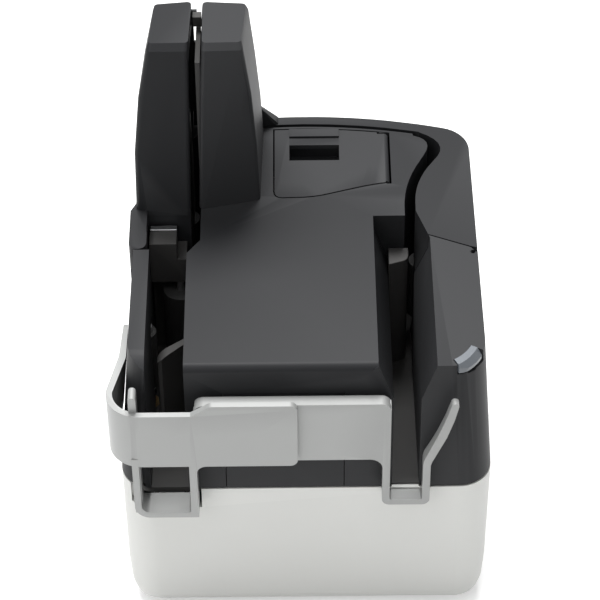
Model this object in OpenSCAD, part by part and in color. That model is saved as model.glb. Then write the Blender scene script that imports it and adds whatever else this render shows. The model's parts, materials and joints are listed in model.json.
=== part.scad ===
// Cheque scanner: documents stand on edge in the feeder pocket at the left, run between the two
// scanning fins, turn round the back of the machine and come out in the pocket at the right.
// All lengths are in millimetres. In the working frame below, X = 0 is the middle of the base,
// Y = 0 is its front face and Z = 0 is a little above the table. placed() then moves the origin to
// the table, in the middle of the machine's footprint.

/* [Body] */
// Width of the base at its top edge
body_w = 144; // [140:1:148]
// Depth of the body on its middle line, at the base's top edge
body_d = 141; // [139:1:143]
// Height of the base's top edge
base_h = 67; // [66:0.5:68]
// Height of the top surface at its front crease
crease_z = 131; // [129:1:133]
// Slope of the top surface, rising to the rear
top_slope = 4; // [3.5:0.25:4.5]
// How far the side walls lean in for each millimetre of height
side_draft = 0.0735; // [0.06:0.0005:0.08]
// The same on the left side
left_draft = 0.0864; // [0.08:0.0002:0.087]
// Radius of the body's upright corners
corner_r = 13; // [11:0.5:14]
// Wall thickness of the black covers
cover_t = 2.2; // [1.8:0.1:2.4]
// Wall thickness of the base
base_t = 2.6; // [2.2:0.1:2.8]
// Height of the table in the working frame
table_z = -5.5; // [-6:0.5:-5.5]
// Height of the rubber feet
foot_h = 1.5; // [1.5:0.5:2]

/* [Document track] */
// Height of the floor that the documents stand on
floor_z = 65; // [65:0.1:65]
// Middle plane of the scanning slot
slot_x = -42.4; // [-42.6:0.1:-42.2]
// Half width of the scanning slot
slot_half = 2.1; // [2:0.05:2.2]
// Outer side of the feeder pocket
pocket_x = -60; // [-60.5:0.1:-59.5]
// Side of the centre block along the feeder pocket
block_x = -45.4; // [-45.8:0.1:-45]
// Left side of the exit pocket
exit_left_x = 33; // [32.6:0.1:33]
// Right side of the exit pocket
exit_right_x = 43.4; // [43.4:0.1:44]
// Height of the top of the scanning fins
fin_z = 217; // [214:1:220]
// Front face of the scanning fins
fin_y = 84.3; // [84:0.1:84.6]

/* [Trays] */
// Front face of the feed tray's band
feed_front_y = -8.8; // [-9.2:0.1:-8.4]
// Front face of the eject tray's band
eject_front_y = -6; // [-6.1:0.1:-5.9]
// Thickness of the trays' bands
band_t = 2.4; // [2.2:0.1:2.5]
// Lower edge of the bands
band_z0 = 89; // [88:0.5:90]
// Upper edge of the feed tray's band at the feeder pocket
band_z1 = 116; // [115:0.5:117]
// Upper edge of the feed tray's band over the eject tray
band_z2 = 121; // [120:0.5:121.5]
// Outer side of the feed tray
feed_out_x = -75; // [-75.4:0.1:-74.8]
// Travel of both trays
tray_travel = 40; // [30:1:40]

/* [Drive] */
// Radius of the steel ends of the driven shafts
shaft_r = 2; // [2:0.05:2.2]
// Radial clearance of a shaft in its bearing
bearing_gap = 0.06; // [0.03:0.01:0.09]
// Radius of the feed and exit rollers
roller_r = 8; // [8:0.1:8]
// Radius of the corner roller
corner_roller_r = 12; // [12:0.1:12]
// Radius of the belt pulleys
pulley_r = 7; // [6.5:0.1:7.2]
// Thickness of the drive belt
belt_t = 1.4; // [1.2:0.1:1.6]

/* [Hidden] */

$fn = 48;
eps = 0.01;
far = 400;

// Colours of the finishes
white_c = [0.84, 0.85, 0.81];
black_c = [0.17, 0.17, 0.18];
dark_c = [0.07, 0.07, 0.075];
silver_c = [0.72, 0.73, 0.73];
rubber_c = [0.12, 0.12, 0.12];
steel_c = [0.62, 0.63, 0.65];
glass_c = [0.25, 0.3, 0.33];
lens_c = [0.66, 0.71, 0.76];
board_c = [0.1, 0.32, 0.18];

// The origin goes to the middle of the footprint, tray band included
origin_x = (feed_out_x + body_w / 2) / 2;
origin_y = (feed_front_y + body_d) / 2;
module placed() {
    translate([-origin_x, -origin_y, -table_z])
        children();
}

// A box from its lowest corner to its highest
module block(low, high) {
    translate(low)
        cube(high - low);
}

// An upright prism between two heights
module upright(z0, z1) {
    translate([0, 0, z0])
        linear_extrude(z1 - z0)
            children();
}

// A slab of constant profile drawn in X and Z, from y0 back to y1
module lengthwise(y0, y1) {
    translate([0, y1, 0])
        rotate([90, 0, 0])
            linear_extrude(y1 - y0)
                children();
}

// Heights and slopes of the upper body
front_draft = 0.023;
rear_draft = 0.052;
form_top = 155;
bow_r = 220;
parting = 0.8;
cover_z0 = base_h + parting;
swing_gap = 0.3;
swing_z0 = cover_z0 + swing_gap;
function top_z(y) = crease_z + tan(top_slope) * y;
function left_x(z) = left_draft * (z - base_h) - body_w / 2;

// The body's outline in plan at a height above the base: straight front and sides, bowed rear
module body_plan(z, inset = 0) {
    right = body_w / 2 - side_draft * (z - base_h);
    left = left_x(z);
    front = front_draft * (z - base_h);
    rear = body_d - rear_draft * (z - base_h);
    offset(r = corner_r - inset)
        offset(delta = -corner_r)
            intersection() {
                translate([left, front])
                    square([right - left, rear - front]);
                translate([0, rear - bow_r])
                    circle(r = bow_r, $fn = 240);
            }
}

// Everything under the sloping top surface, lowered by inset
module under_top(inset = 0) {
    translate([-far / 2, 0, crease_z - inset])
        rotate([top_slope, 0, 0])
            translate([0, -far / 2, -far])
                cube([far, far, far]);
}

// The closed form of the upper body, from the parting line to the sloping top. An inset form is
// the hollow of a cover: it runs out at the bottom.
module body_form(inset = 0, z0 = cover_z0) {
    intersection() {
        hull() {
            upright(z0 - inset, z0 - inset + eps)
                body_plan(z0 - inset, inset);
            upright(form_top - eps, form_top)
                body_plan(form_top, inset);
        }
        under_top(inset);
    }
}

// Points of a smooth bend from a to c, drawn towards b
function bend(a, b, c, n = 6) =
    [for (i = [0:n]) let(t = i / n) (1 - t) * (1 - t) * a + 2 * t * (1 - t) * b + t * t * c];

// Plan of the centre block, and its bevel along the exit pocket
recess_y = 80;
bevel_w = 5.9;
bevel_h = 17;
block_arc_r = bow_r - 6;
arc_y = 137.2 - bow_r;
slot_in_x = slot_x + slot_half;
slot_out_x = slot_x - slot_half;
module block_plan(inset = 0) {
    offset(delta = -inset)
        intersection() {
            polygon(concat(
                [[block_x, -5], [exit_left_x, -5], [exit_left_x, recess_y], [39.6, recess_y]],
                bend([39.6, 84], [39.6, 96.5], [45, 107.5]),
                bend([48.6, 114.5], [53, 123], [44.5, 125.4]),
                [[42, 140], [-30, 140], [-36.5, 129], [slot_in_x, 121], [slot_in_x, 67.7], [block_x, 60.7]]));
            translate([0, arc_y])
                circle(r = block_arc_r, $fn = 240);
        }
}

// The wedge that the bevel takes off the block's edge over the exit pocket
module exit_bevel(x_edge, x_low, shift) {
    lengthwise(-5, recess_y + shift)
        polygon([[x_edge - shift, top_z(0) + 12], [x_edge - shift, crease_z - shift],
            [x_low - shift, crease_z - bevel_h - shift], [x_low + 20, crease_z - bevel_h - shift],
            [x_low + 20, top_z(0) + 12]]);
}

module centre_solid(inset = 0) {
    difference() {
        intersection() {
            body_form(inset);
            upright(0, form_top)
                block_plan(inset);
        }
        exit_bevel(exit_left_x - bevel_w, exit_left_x + eps, inset);
    }
}

// Outline of the imprinter door, with its S-shaped front edge, following the block's rear edge
door_left = -11.4;
door_right = 34.4;
module door_plan(grow = 0) {
    offset(delta = grow)
        intersection() {
            polygon(concat(
                bend([door_left, 94], [door_left, 90.8], [door_left + 3, 90.8], 4),
                bend([-2, 90.9], [4, 91], [10, 92.8]),
                bend([18, 95.2], [26, 97.8], [32.6, 98.7]),
                [[door_right - 0.5, 99.3], [door_right, 100.2], [door_right, 140], [door_left, 140]]));
            translate([0, arc_y])
                circle(r = block_arc_r - 1.6, $fn = 240);
        }
}

// Driven shafts, in plan
feed_at = [slot_x + roller_r + 0.15, 75];
corner_at = [slot_x + corner_roller_r + 0.3, 117.4];
exit_path_x = 42;
exit_at = [exit_path_x - roller_r - 0.15, 90];
pickup_at = [-62.4, 50];
motor_at = [0, 50];
pinch_r = 5;
corner_pinch_at = [slot_x - pinch_r - 0.15, 117.4];
exit_pinch_at = [exit_path_x + pinch_r + 0.15, 90];
retard_r = 6.8;
retard_at = [slot_x - retard_r - 0.15, 74.6];
pickup_r = 4.2;

// Levels inside
floor_t = 2.6;
frame_z = 117;
frame_t = 3;
tyre_z0 = 76;
tyre_z1 = 104;
pulley_z0 = 50;
pulley_z1 = 57;
shaft_z0 = 47;
low_pulley_z0 = 41.5;
low_pulley_z1 = 48;
low_pulley_r = 4.4;

// Base

// Height and inset of the base's outline, from the parting line down to the bottom
base_z = table_z + foot_h;
base_profile = [[base_h, 0], [16, 0.2], [4, 0.9], [0, 2], [-2.6, 4.2], [base_z + eps, 7.5]];
boss_at = [[-63.5, 24], [63, 24], [-62, 112], [62, 112]];
foot_at = [[-52, 16], [52, 16], [-52, 120], [52, 120]];
feet_r = 7;
screw_r = 1.5;
head_r = 3;
head_z = 6;
notch_z = 56.6;
notch_x = -40.7;
module base_solid(inset, z0) {
    difference() {
        hull()
            for (p = base_profile)
                upright(p[0] - eps, p[0] + (p[0] == base_h ? inset : 0))
                    body_plan(base_h, p[1] + inset);
        translate([0, 0, z0 - far / 2])
            cube(far, center = true);
    }
}

module base_shell() {
    color(white_c)
        difference() {
            union() {
                difference() {
                    base_solid(0, table_z);
                    base_solid(base_t, base_z + 3);
                }
                for (p = boss_at)
                    translate([p[0], p[1], base_z + 2])
                        cylinder(r = 4, h = floor_z - floor_t - base_z - 2);
                for (p = [[-50, 86], [50, 86], [-50, 122], [50, 122]])
                    translate([p[0], p[1], base_z + 2])
                        cylinder(r = 2.5, h = board_z - base_z - 2);
            }
            for (p = boss_at)
                translate([p[0], p[1], base_z - 1]) {
                    cylinder(r = screw_r, h = far);
                    cylinder(r = head_r + 0.3, h = head_z + 3 - base_z);
                }
            for (p = foot_at)
                translate([p[0], p[1], base_z - 1])
                    cylinder(r = 2, h = 20);
            // Opening for the feed tray's floor
            block([-68.2, -5, notch_z], [notch_x, 6, base_h + 2]);
            // Openings for the sockets, at the rear
            block(usb_low - [0.5, 0, 0.5], usb_high + [0.5, 20, 0.5]);
            translate([power_x, body_d, power_z])
                rotate([90, 0, 0])
                    cylinder(r = power_r + 0.5, h = 40, center = true);
        }
}

module rubber_feet() {
    color(rubber_c)
        for (p = foot_at)
            translate([p[0], p[1], table_z]) {
                cylinder(r = feet_r, h = foot_h);
                cylinder(r = 2, h = foot_h + 3);
            }
}

module base_screws() {
    color(steel_c)
        for (p = boss_at)
            translate([p[0], p[1], 0]) {
                translate([0, 0, head_z])
                    cylinder(r = head_r, h = 2);
                translate([0, 0, head_z])
                    cylinder(r = screw_r, h = floor_z - head_z - 1);
            }
}

// Chassis: the floor of the document track, with posts, tray guides and bearing seats
bush_r = 4;
post_at = [[-20, 58], [20, 60], [-14, 94], [29, 108]];
post_r = 3.6;
bush_at = [feed_at, corner_at, exit_at, pickup_at];
hanger_at = [[-21, 31], [21, 31], [0, 66]];
bracket_z = 44;
tongue_x0 = -57.3;
tongue_x1 = -47.7;
tongue_z0 = 59.4;
tongue_z1 = 62;
rim_inset = 3;
rim_t = 1.6;
rib_t = 0.9;
module chassis_frame() {
    color(dark_c)
        difference() {
            union() {
                upright(floor_z - floor_t, floor_z)
                    body_plan(base_h, base_t + 0.4);
                for (p = post_at)
                    upright(floor_z - eps, frame_z)
                        translate(p)
                            circle(r = post_r);
                for (p = hanger_at)
                    upright(bracket_z + 2.5, floor_z - floor_t + eps)
                        translate(p)
                            circle(r = 3);
                // Rim that locates the base and the covers, and the ledge between them
                upright(floor_z - eps, cover_z0)
                    difference() {
                        body_plan(base_h, rim_inset);
                        body_plan(base_h, rim_inset + rim_t);
                        block2([-80, fin_y - 4], [rear_x0, 160]);
                    }
                upright(base_h, cover_z0)
                    difference() {
                        body_plan(base_h, 0.6);
                        body_plan(base_h, rim_inset + 0.4);
                    }
                // Low ribs under the covers' inner walls
                upright(floor_z - eps, cover_z0)
                    intersection() {
                        body_plan(base_h, rim_inset);
                        union() {
                            difference() {
                                block_plan();
                                block_plan(rib_t);
                            }
                            difference() {
                                rear_cover_plan();
                                rear_cover_plan(rib_t);
                            }
                            block2([pocket_x - rib_t, 5], [pocket_x, pickup_at[1] - 5]);
                            block2([pocket_x - rib_t, pickup_at[1] + 5], [pocket_x, wall_y1]);
                        }
                    }
                // Guides of the feed tray's tongue
                block([tongue_x0 - 1.8, 4, tongue_z0 - 1.8], [tongue_x0 - 0.3, 45, floor_z - 1]);
                block([tongue_x1 + 0.3, 4, tongue_z0 - 1.8], [tongue_x1 + 1.8, 55, floor_z - 1]);
                block([tongue_x0 - 1.8, 4, tongue_z0 - 1.8], [tongue_x1 + 1.8, 16, tongue_z0 - 0.3]);
                // Guides of the eject tray's tongue, inside the block
                block([bar_x0 - 2.4, 6, floor_z - eps], [bar_x0 - 0.3, 45, bar_z0 + 4]);
                block([bar_x0 - 2.4, 6, floor_z - eps], [bar_x1 + 0.2, 16, bar_z0 - 0.3]);
                // Seats of the retard pin and the pinch pin
                for (p = [retard_at, exit_pinch_at])
                    upright(floor_z - eps, floor_z + 2.6)
                        translate(p)
                            circle(r = 3.4);
            }
            for (p = bush_at)
                upright(0, floor_z + 1)
                    translate(p)
                        circle(r = bush_r);
            for (p = post_at)
                upright(frame_z - 12, far)
                    translate(p)
                        circle(r = 1.25);
            for (p = boss_at)
                upright(0, far)
                    translate(p)
                        circle(r = screw_r);
            for (p = [retard_at, exit_pinch_at])
                upright(floor_z - 2, far)
                    translate(p)
                        circle(r = 1.5);
            // Clear of the tray floor
            block([-80, -5, 50], [notch_x, 2.4, 80]);
            block([-68.2, -5, floor_z], [notch_x, 5.2, 80]);
            // Clear of the pusher and of the slot's right-hand wall
            block([block_x - 1, pusher_y0 - 2, floor_z], [block_x + 4, pusher_y1 + 2, 80]);
            block([slot_in_x - 2.4, fin_y + 2, floor_z], [slot_in_x + guide_t + 0.4, guide_y1 + 0.4, 80]);
            // Front step of the exit pocket, where the base's rim shows
            block([exit_left_x, -5, base_h], [exit_right_x, 1.6, 80]);
        }
}

module front_panel() {
    color(black_c)
        difference() {
            intersection() {
                body_form();
                block([panel_x0 + 0.3, -5, cover_z0], [panel_x1 - 0.3, 3.2, 117.5]);
            }
            translate([0, 2.2, 0])
                body_form(-0.01);
        }
}
panel_x0 = -31;
panel_x1 = 14.7;

// Centre cover: hollow block with openings for rollers, door, front panel and right-hand fin
window_z0 = 72;
window_z1 = 109;
window_x = 4.5;
window_w = 20;
module centre_cover() {
    color(black_c)
        difference() {
            union() {
                centre_skin();
                intersection() {
                    union() {
                        door_frame(93.6)
                            cylinder(r = lug_r, h = 4);
                        door_frame(127.9)
                            cylinder(r = lug_r, h = 1.1);
                    }
                    under_top(0.3);
                }
            }
            door_frame(90)
                cylinder(r = hinge_r, h = 60);
        }
}

module centre_skin() {
    difference() {
        centre_solid();
        centre_solid(cover_t);
        // Door opening
        upright(100, form_top) {
            door_plan(0.6);
            block2([door_right - 1.9, 97.9], [door_right + 0.6, 101]);
        }
        // Front panel
        block([panel_x0, -5, 60], [panel_x1, 6, 117.8]);
        // Window of the feed roller and of the pusher
        block([block_x - 2, 67.2, window_z0], [slot_in_x + 3.5, 83, window_z1]);
        block([block_x - 2, pusher_y0 - 2, 66], [block_x + 4, pusher_y1 + 2, pusher_z1 + 2]);
        // Window of the corner roller
        block([slot_in_x - 2, corner_at[1] - 12.6, window_z0],
            [corner_at[0] + corner_roller_r + 0.6, 140, window_z1]);
        // Seat of the slot's right-hand wall, below the fin
        block([slot_in_x - 2.4, fin_y + 2.55, 60], [slot_in_x + 3.6, guide_y1 + 0.3, form_top]);
        // Slot of the eject tray's tongue
        block([bar_x0 - 0.3, -5, bar_z0 - 0.3], [bar_x1 + 0.3, 4, bar_z1 + 0.3]);
        // Window of the exit roller
        block([27, exit_at[1] - 8.4, window_z0], [46, exit_at[1] + 8.8, window_z1]);
        // Opening under the right-hand fin
        upright(120, form_top)
            offset(delta = -cover_t - 0.6)
                right_fin_foot();
    }
}

module imprinter_door() {
    color(black_c)
        difference() {
            union() {
                intersection() {
                    difference() {
                        body_form();
                        under_top(2);
                    }
                    upright(100, form_top)
                        difference() {
                            intersection() {
                                door_plan();
                                translate([door_axis_x - far, 0])
                                    square(far);
                            }
                            block2([door_right - 4.4, 126.6], [door_right + 5, 140]);
                        }
                }
                // Raised bar behind the finger window
                intersection() {
                    under_top(-0.9);
                    difference() {
                        block([window_x - window_w / 2, 124.6, 120], [window_x + window_w / 2, 129, 160]);
                        under_top(2);
                    }
                }
                // Pocket walls under the finger window
                intersection() {
                    under_top(eps);
                    difference() {
                        block([window_x - window_w / 2 - 1.2, 109.8, 131], [window_x + window_w / 2 + 1.2, 123, 160]);
                        block([window_x - window_w / 2, 111, 132.2], [window_x + window_w / 2, 121.8, 160]);
                    }
                }
                door_frame(door_y0)
                    cylinder(r = knuckle_r, h = door_y1 - door_y0);
            }
            block([window_x - window_w / 2, 111.6, 132.2], [window_x + window_w / 2, 120.4, 160]);
            door_frame(90)
                cylinder(r = hinge_r + bearing_gap, h = 60);
        }
}
// The door's hinge line, parallel to the sloping top along the door's right edge
knuckle_r = 1.7;
hinge_r = 0.8;
lug_r = 2.2;
door_y0 = 99.7;
door_y1 = 127;
door_axis_x = door_right - knuckle_r;
door_axis_z = crease_z - knuckle_r / cos(top_slope);
module door_frame(along) {
    translate([door_axis_x, 0, door_axis_z])
        rotate([top_slope - 90, 0, 0])
            translate([0, 0, along])
                children();
}

module door_hinge_pin() {
    color(steel_c)
        door_frame(94.6)
            cylinder(r = hinge_r, h = 33.8);
}

// Exit side: the right-hand cover that swings open, and the fixed cover behind it

// The cover's hinge line runs just inside the leaning outer wall
barrel_r = 1.9;
exit_pin_r = 0.9;
exit_hinge_y = 60;
exit_hinge_x = body_w / 2 - barrel_r;
exit_wall_z0 = 69.4;
lean_angle = atan(side_draft);
module exit_hinge(z) {
    translate([exit_hinge_x - side_draft * (z - base_h), exit_hinge_y, z])
        rotate([0, -lean_angle, 0])
            children();
}
// A lug of the cover behind, on the hinge line
lug_z = [69, 119];
lug_h = 6;
module exit_lug(z, h, grow = 0) {
    exit_hinge(z)
        hull() {
            cylinder(r = barrel_r + grow, h = h);
            translate([-1.2, 4, 0])
                cylinder(r = barrel_r - 0.4 + grow, h = h);
        }
}
module exit_cover_plan(inset = 0) {
    offset(delta = -inset)
        polygon([[exit_right_x, -5], [90, -5], [90, exit_hinge_y], [66.2, exit_hinge_y], [64.5, 62.4],
            [49.7, 68.6], [exit_right_x, 71]]);
}
module exit_cover_solid(inset = 0) {
    difference() {
        intersection() {
            body_form(inset, swing_z0);
            upright(0, form_top)
                exit_cover_plan(inset);
        }
        right_bevel(inset);
    }
}
// The wedge that the bevel takes off the edge at the right of the exit pocket
crease_x = 48.9;
module right_bevel(shift) {
    intersection() {
        upright(0, far)
            polygon([[30, -10], [60, -10], [60, 35], [49.9 + shift, 64.8], [44.4 + shift, 81.3],
                [43 + shift, 85.5], [30, 85.5]]);
        right_wedge(shift);
    }
}
module right_wedge(shift) {
    lengthwise(-5, 90)
        polygon([[crease_x + shift, top_z(0) + 12], [crease_x + shift, crease_z - shift],
            [exit_right_x + shift - eps, crease_z - bevel_h - shift], [exit_right_x - 10, crease_z - bevel_h - shift],
            [exit_right_x - 10, top_z(0) + 12]]);
}

module right_front_cover() {
    color(black_c)
        difference() {
            union() {
                difference() {
                    exit_cover_solid();
                    exit_cover_solid(cover_t);
                    block([40, -5, 60], [exit_right_x + cover_t + 0.2, 75, exit_wall_z0]);
                    lens_seat();
                    button_tab(tab_r0 - 1, 21.2, 3.6, crease_z - 5.1, crease_z - 2.1);
                }
                // Hinge barrel, between the two lugs of the cover behind
                exit_hinge(lug_z[0] + lug_h + 0.8)
                    cylinder(r = barrel_r, h = lug_z[1] - lug_z[0] - lug_h - 1.8);
            }
            exit_hinge(60)
                cylinder(r = exit_pin_r + bearing_gap, h = 80);
            // Clear of the lugs
            exit_lug(60, lug_z[0] + lug_h + 0.4 - 60, 0.4);
            exit_lug(lug_z[1] - 0.6, 9, 0.4);
        }
}

module exit_cover_pin() {
    color(steel_c)
        exit_hinge(71.5)
            cylinder(r = exit_pin_r, h = 54);
}

// The crescent button at the front right of the crease: a bar bowed about lens_at, with a flat top
// and a slanted outer side that follows the cover's rounded corner
lens_at = [47.2, 18.5];
lens_r0 = 16.3;
lens_z0 = crease_z - 3.4;
module lens_ring(a0, a1, section) {
    translate(lens_at)
        rotate(a0)
            rotate_extrude(angle = a1 - a0, $fn = 120)
                polygon(section);
}
module lens_solid() {
    intersection() {
        lens_ring(-61, -27, [[lens_r0, lens_z0], [lens_r0, crease_z + 3], [18.8, crease_z + 1.3],
            [20.9, crease_z - 1.9], [20.9, lens_z0]]);
        translate([0.3, -0.5, 0.5])
            body_form();
    }
}
// The seat of the button, with room for its travel
module lens_seat() {
    lens_ring(-62, -26, [[lens_r0 - 0.3, lens_z0 - button_travel - 0.3], [lens_r0 - 0.3, crease_z + 4],
        [30, crease_z + 4], [30, lens_z0 - button_travel - 0.3]]);
}
button_travel = 0.8;
module power_button() {
    color(lens_c)
        union() {
            lens_solid();
            button_tab(tab_r0, 20.2, 3, crease_z - 3.9, crease_z - 2.6);
            button_tab(tab_r0, tab_r1, 3, crease_z - 12, crease_z - 3);
        }
}
// A bar from r0 to r1 on the crescent's own radius, towards the front right corner
tab_r0 = 16.2;
tab_r1 = 17.8;
module button_tab(r0, r1, w, z0, z1) {
    translate(lens_at)
        rotate(-45)
            block([r0, -w / 2, z0], [r1, w / 2, z1]);
}
module button_switch() {
    color(dark_c)
        union() {
            button_tab(13.5, tab_r1, 4, crease_z - 22, crease_z - 14.2);
            button_tab(tab_r0, tab_r1, 2, crease_z - 15, crease_z - 12 - button_travel - 0.1);
            // Arm from the pocket's wall
            block([exit_right_x + cover_t + 0.02, 8.2, crease_z - 22], [57.5, 10.2, crease_z - 20.4]);
        }
}

// Fixed cover round the rear: outer wall of the document track
rear_x0 = -36;
track_arc_r = block_arc_r + 1.6;
module rear_cover_plan(inset = 0) {
    offset(delta = -inset)
        difference() {
            polygon([[exit_right_x + 0.6, 71.6], [49.8, 69.1], [64.8, 62.9], [66.6, 62.4], [90, 62.4],
                [90, 160], [rear_x0, 160], [rear_x0, 100], [40, 100], [exit_right_x + 0.6, 90]]);
            intersection() {
                translate([0, arc_y])
                    circle(r = track_arc_r, $fn = 240);
                polygon(concat(
                    [[-60, 88]],
                    bend([exit_right_x + 0.6, 88], [44.3, 98.5], [50, 107.5]),
                    bend([54, 113.5], [58.5, 121.5], [47, 127.4]),
                    [[44, 150], [-60, 150]]));
            }
        }
}
module right_rear_cover() {
    color(black_c)
        difference() {
            union() {
                difference() {
                    intersection() {
                        body_form();
                        upright(0, form_top)
                            rear_cover_plan();
                    }
                    difference() {
                        intersection() {
                            body_form(cover_t);
                            upright(0, form_top)
                                rear_cover_plan(cover_t - 0.6);
                        }
                        right_bevel(cover_t);
                    }
                    right_bevel(0);
                    block([40, exit_pinch_at[1] - 5.8, window_z0],
                        [46.5, exit_pinch_at[1] + 5.8, window_z1]);
                }
                for (z = lug_z)
                    intersection() {
                        exit_lug(z, lug_h);
                        body_form();
                    }
            }
            exit_hinge(60)
                cylinder(r = exit_pin_r, h = 80);
            // Clear of the pinch roller's pin
            translate([exit_pinch_at[0], exit_pinch_at[1], 60])
                cylinder(r = 1.9, h = 53);
        }
}

// Block-side guide of the exit, its top a step below the covers
exit_guide_z = 120;
module exit_guide_plan() {
    polygon(concat([[exit_left_x + 0.3, 70]], bend([38.6, 71.8], [41.2, 72.6], [41.2, 76]),
        [[41.2, recess_y - 0.3], [exit_left_x + 0.3, recess_y - 0.3]]));
}
module exit_guide() {
    color(dark_c)
        difference() {
            upright(floor_z, exit_guide_z)
                exit_guide_plan();
            upright(floor_z - 1, exit_guide_z - 2)
                offset(delta = -1.8)
                    exit_guide_plan();
        }
}

// Feeder side: fixed outer wall, with the swinging scan unit behind it
hinge_x = -64.6;
hinge_y = 66.6;
hinge_col_r = 3.4;
unit_pin_r = 1.2;
wall_y1 = 62.8;
module left_wall_solid(inset = 0) {
    difference() {
        intersection() {
            body_form(inset);
            block([-far, -5, 0], [pocket_x - inset, wall_y1 - inset, form_top]);
        }
        // The wall's top runs down in a curve to its front end
        translate([-100, -5 - inset, crease_z - 17 - inset])
            difference() {
                cube([far, 19 + inset, 60]);
                translate([-1, 19 + inset, 0])
                    rotate([0, 90, 0])
                        cylinder(r = 18, h = far + 2, $fn = 120);
            }
    }
}
ear_z = [78, 118];
ear_t = 5;
module ear_plan() {
    hull() {
        translate([hinge_x, hinge_y])
            circle(r = 2.6);
        translate([hinge_x, wall_y1 - 1])
            square([4, 1], center = true);
    }
}
module left_side_wall() {
    color(black_c)
        difference() {
            union() {
                difference() {
                    left_wall_solid();
                    left_wall_solid(2);
                    // Recess of the pickup roller and its shaft
                    block([-62.5, pickup_at[1] - 5, window_z0], [-50, pickup_at[1] + 5, window_z1]);
                    translate([pickup_at[0], pickup_at[1], 60])
                        cylinder(r = pickup_hub_r + 0.4, h = window_z1 - 60);
                    // Slot for the tray's upright
                    block([-66.7, -5, 60], [-62.3, 2.6, 140]);
                }
                for (z = ear_z)
                    upright(z, z + ear_t)
                        ear_plan();
            }
            translate([hinge_x, hinge_y, 0])
                cylinder(r = unit_pin_r, h = far);
        }
}
module unit_hinge_pin() {
    color(steel_c)
        translate([hinge_x, hinge_y, ear_z[0] - 6])
            cylinder(r = unit_pin_r, h = ear_z[1] - ear_z[0] + ear_t + 12);
}

left_fin_rings = [
    [134, [[-65.8, fin_y], [-44.3, fin_y], [-44.3, 135.5], [-60, 135.5], [-65, 128]]],
    [165, [[-65, fin_y], [-43.6, fin_y], [-43.4, 128], [-58.6, 128], [-64, 122]]],
    [192, [[-62.3, fin_y], [-43, fin_y], [-42.3, 119], [-57.4, 119], [-60.8, 115]]],
    [fin_z - 2.5, [[-58.3, fin_y], [-42.6, fin_y], [-41.9, 113], [-56.4, 111.6]]],
    [fin_z, [[-57.5, fin_y + 2], [-42.5, fin_y + 2], [-41.8, 112.2], [-55.8, 110.6]]]];
right_fin_rings = [
    [137, [[-41, fin_y], [-17, fin_y + 5.2], [-15.8, 129], [-20, 136.5], [-34.4, 136], [-35.6, 131],
        [-39.2, 126.4]]],
    [165, [[-40, fin_y], [-17.8, fin_y + 3.2], [-16.6, 122], [-20, 128], [-35, 127.6], [-39, 123]]],
    [192, [[-38.9, fin_y], [-19.4, fin_y + 1.6], [-18.2, 114], [-21, 119], [-38.6, 119]]],
    [fin_z - 2.5, [[-37.6, fin_y], [-22.1, fin_y + 0.4], [-20.1, 111.6], [-37.9, 113]]],
    [fin_z, [[-37.3, fin_y + 2], [-22.8, fin_y + 2.2], [-21, 110.6], [-37.6, 112]]]];
fin_edge_r = 1.6;
// A fin's solid form. An inset form is its hollow: lower at the top, and running out at the bottom.
module fin_solid(rings, inset = 0) {
    hull()
        for (r = rings)
            translate([0, 0, r[0] == fin_z || r == rings[0] ? -inset : 0])
                upright(r[0] - eps, r[0])
                    offset(r = fin_edge_r, $fn = 20)
                        offset(delta = -fin_edge_r - inset)
                            polygon(r[1]);
}
module right_fin_foot() {
    polygon(right_fin_rings[0][1]);
}
// Fairing from the right fin's rear edge down to the cover behind the track
fairing = [[-22, 133.2, 138], [-22, 136, 138], [-10.1, 133.2, 138], [-10.1, 136.8, 138], [-10.1, 133.2, 140.6],
    [-10.1, 136.8, 140.9], [-17.6, 129.3, 152.3], [-17.6, 131.5, 151.6], [-22, 129.3, 152.3], [-22, 131.5, 151.6]];
module block2(low, high) {
    translate(low)
        square(high - low);
}

// Walls of the slot, with windows for the sensor glass
guide_y1 = 124;
guide_t = 1.8;
guide_top = 207;
glass_y0 = 93;
glass_y1 = 103;
glass_z0 = 70;
glass_z1 = 184;
module slot_wall_outline() {
    polygon([[fin_y + 2.8, floor_z + 1], [guide_y1, floor_z + 1], [guide_y1, 133], [111, guide_top],
        [fin_y + 2.8, guide_top]]);
}
// A plate in the Y-Z plane from x0 to x1
module crosswise(x0, x1) {
    translate([x0, 0, 0])
        rotate([90, 0, 90])
            linear_extrude(x1 - x0)
                children();
}

// Lower part of the scan unit: plan with the outer guide of the rear left corner
module unit_plan() {
    polygon([[-90, fin_y + 0.3], [slot_out_x, fin_y + 0.3], [slot_out_x, 124.5], [-39, 131.4],
        [rear_x0 - 0.5, 133], [rear_x0 - 0.5, 160], [-90, 160]]);
}
module unit_lower(inset = 0) {
    intersection() {
        body_form(inset, swing_z0);
        upright(0, form_top)
            offset(delta = -inset)
                unit_plan();
    }
}
// Column round the pivot, and its link to the fin
module hinge_column() {
    intersection() {
        upright(swing_z0 + 1, form_top)
            union() {
                hull()
                    for (y = [hinge_y, hinge_y + 5])
                        translate([hinge_x, y])
                            circle(r = hinge_col_r);
                polygon([[hinge_x - hinge_col_r, hinge_y], [hinge_x - hinge_col_r, 84], [hinge_x - 1.4, 88],
                    [hinge_x + hinge_col_r - 0.2, 88], [hinge_x + hinge_col_r - 0.2, hinge_y]]);
            }
        under_top(0.02);
    }
}
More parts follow.
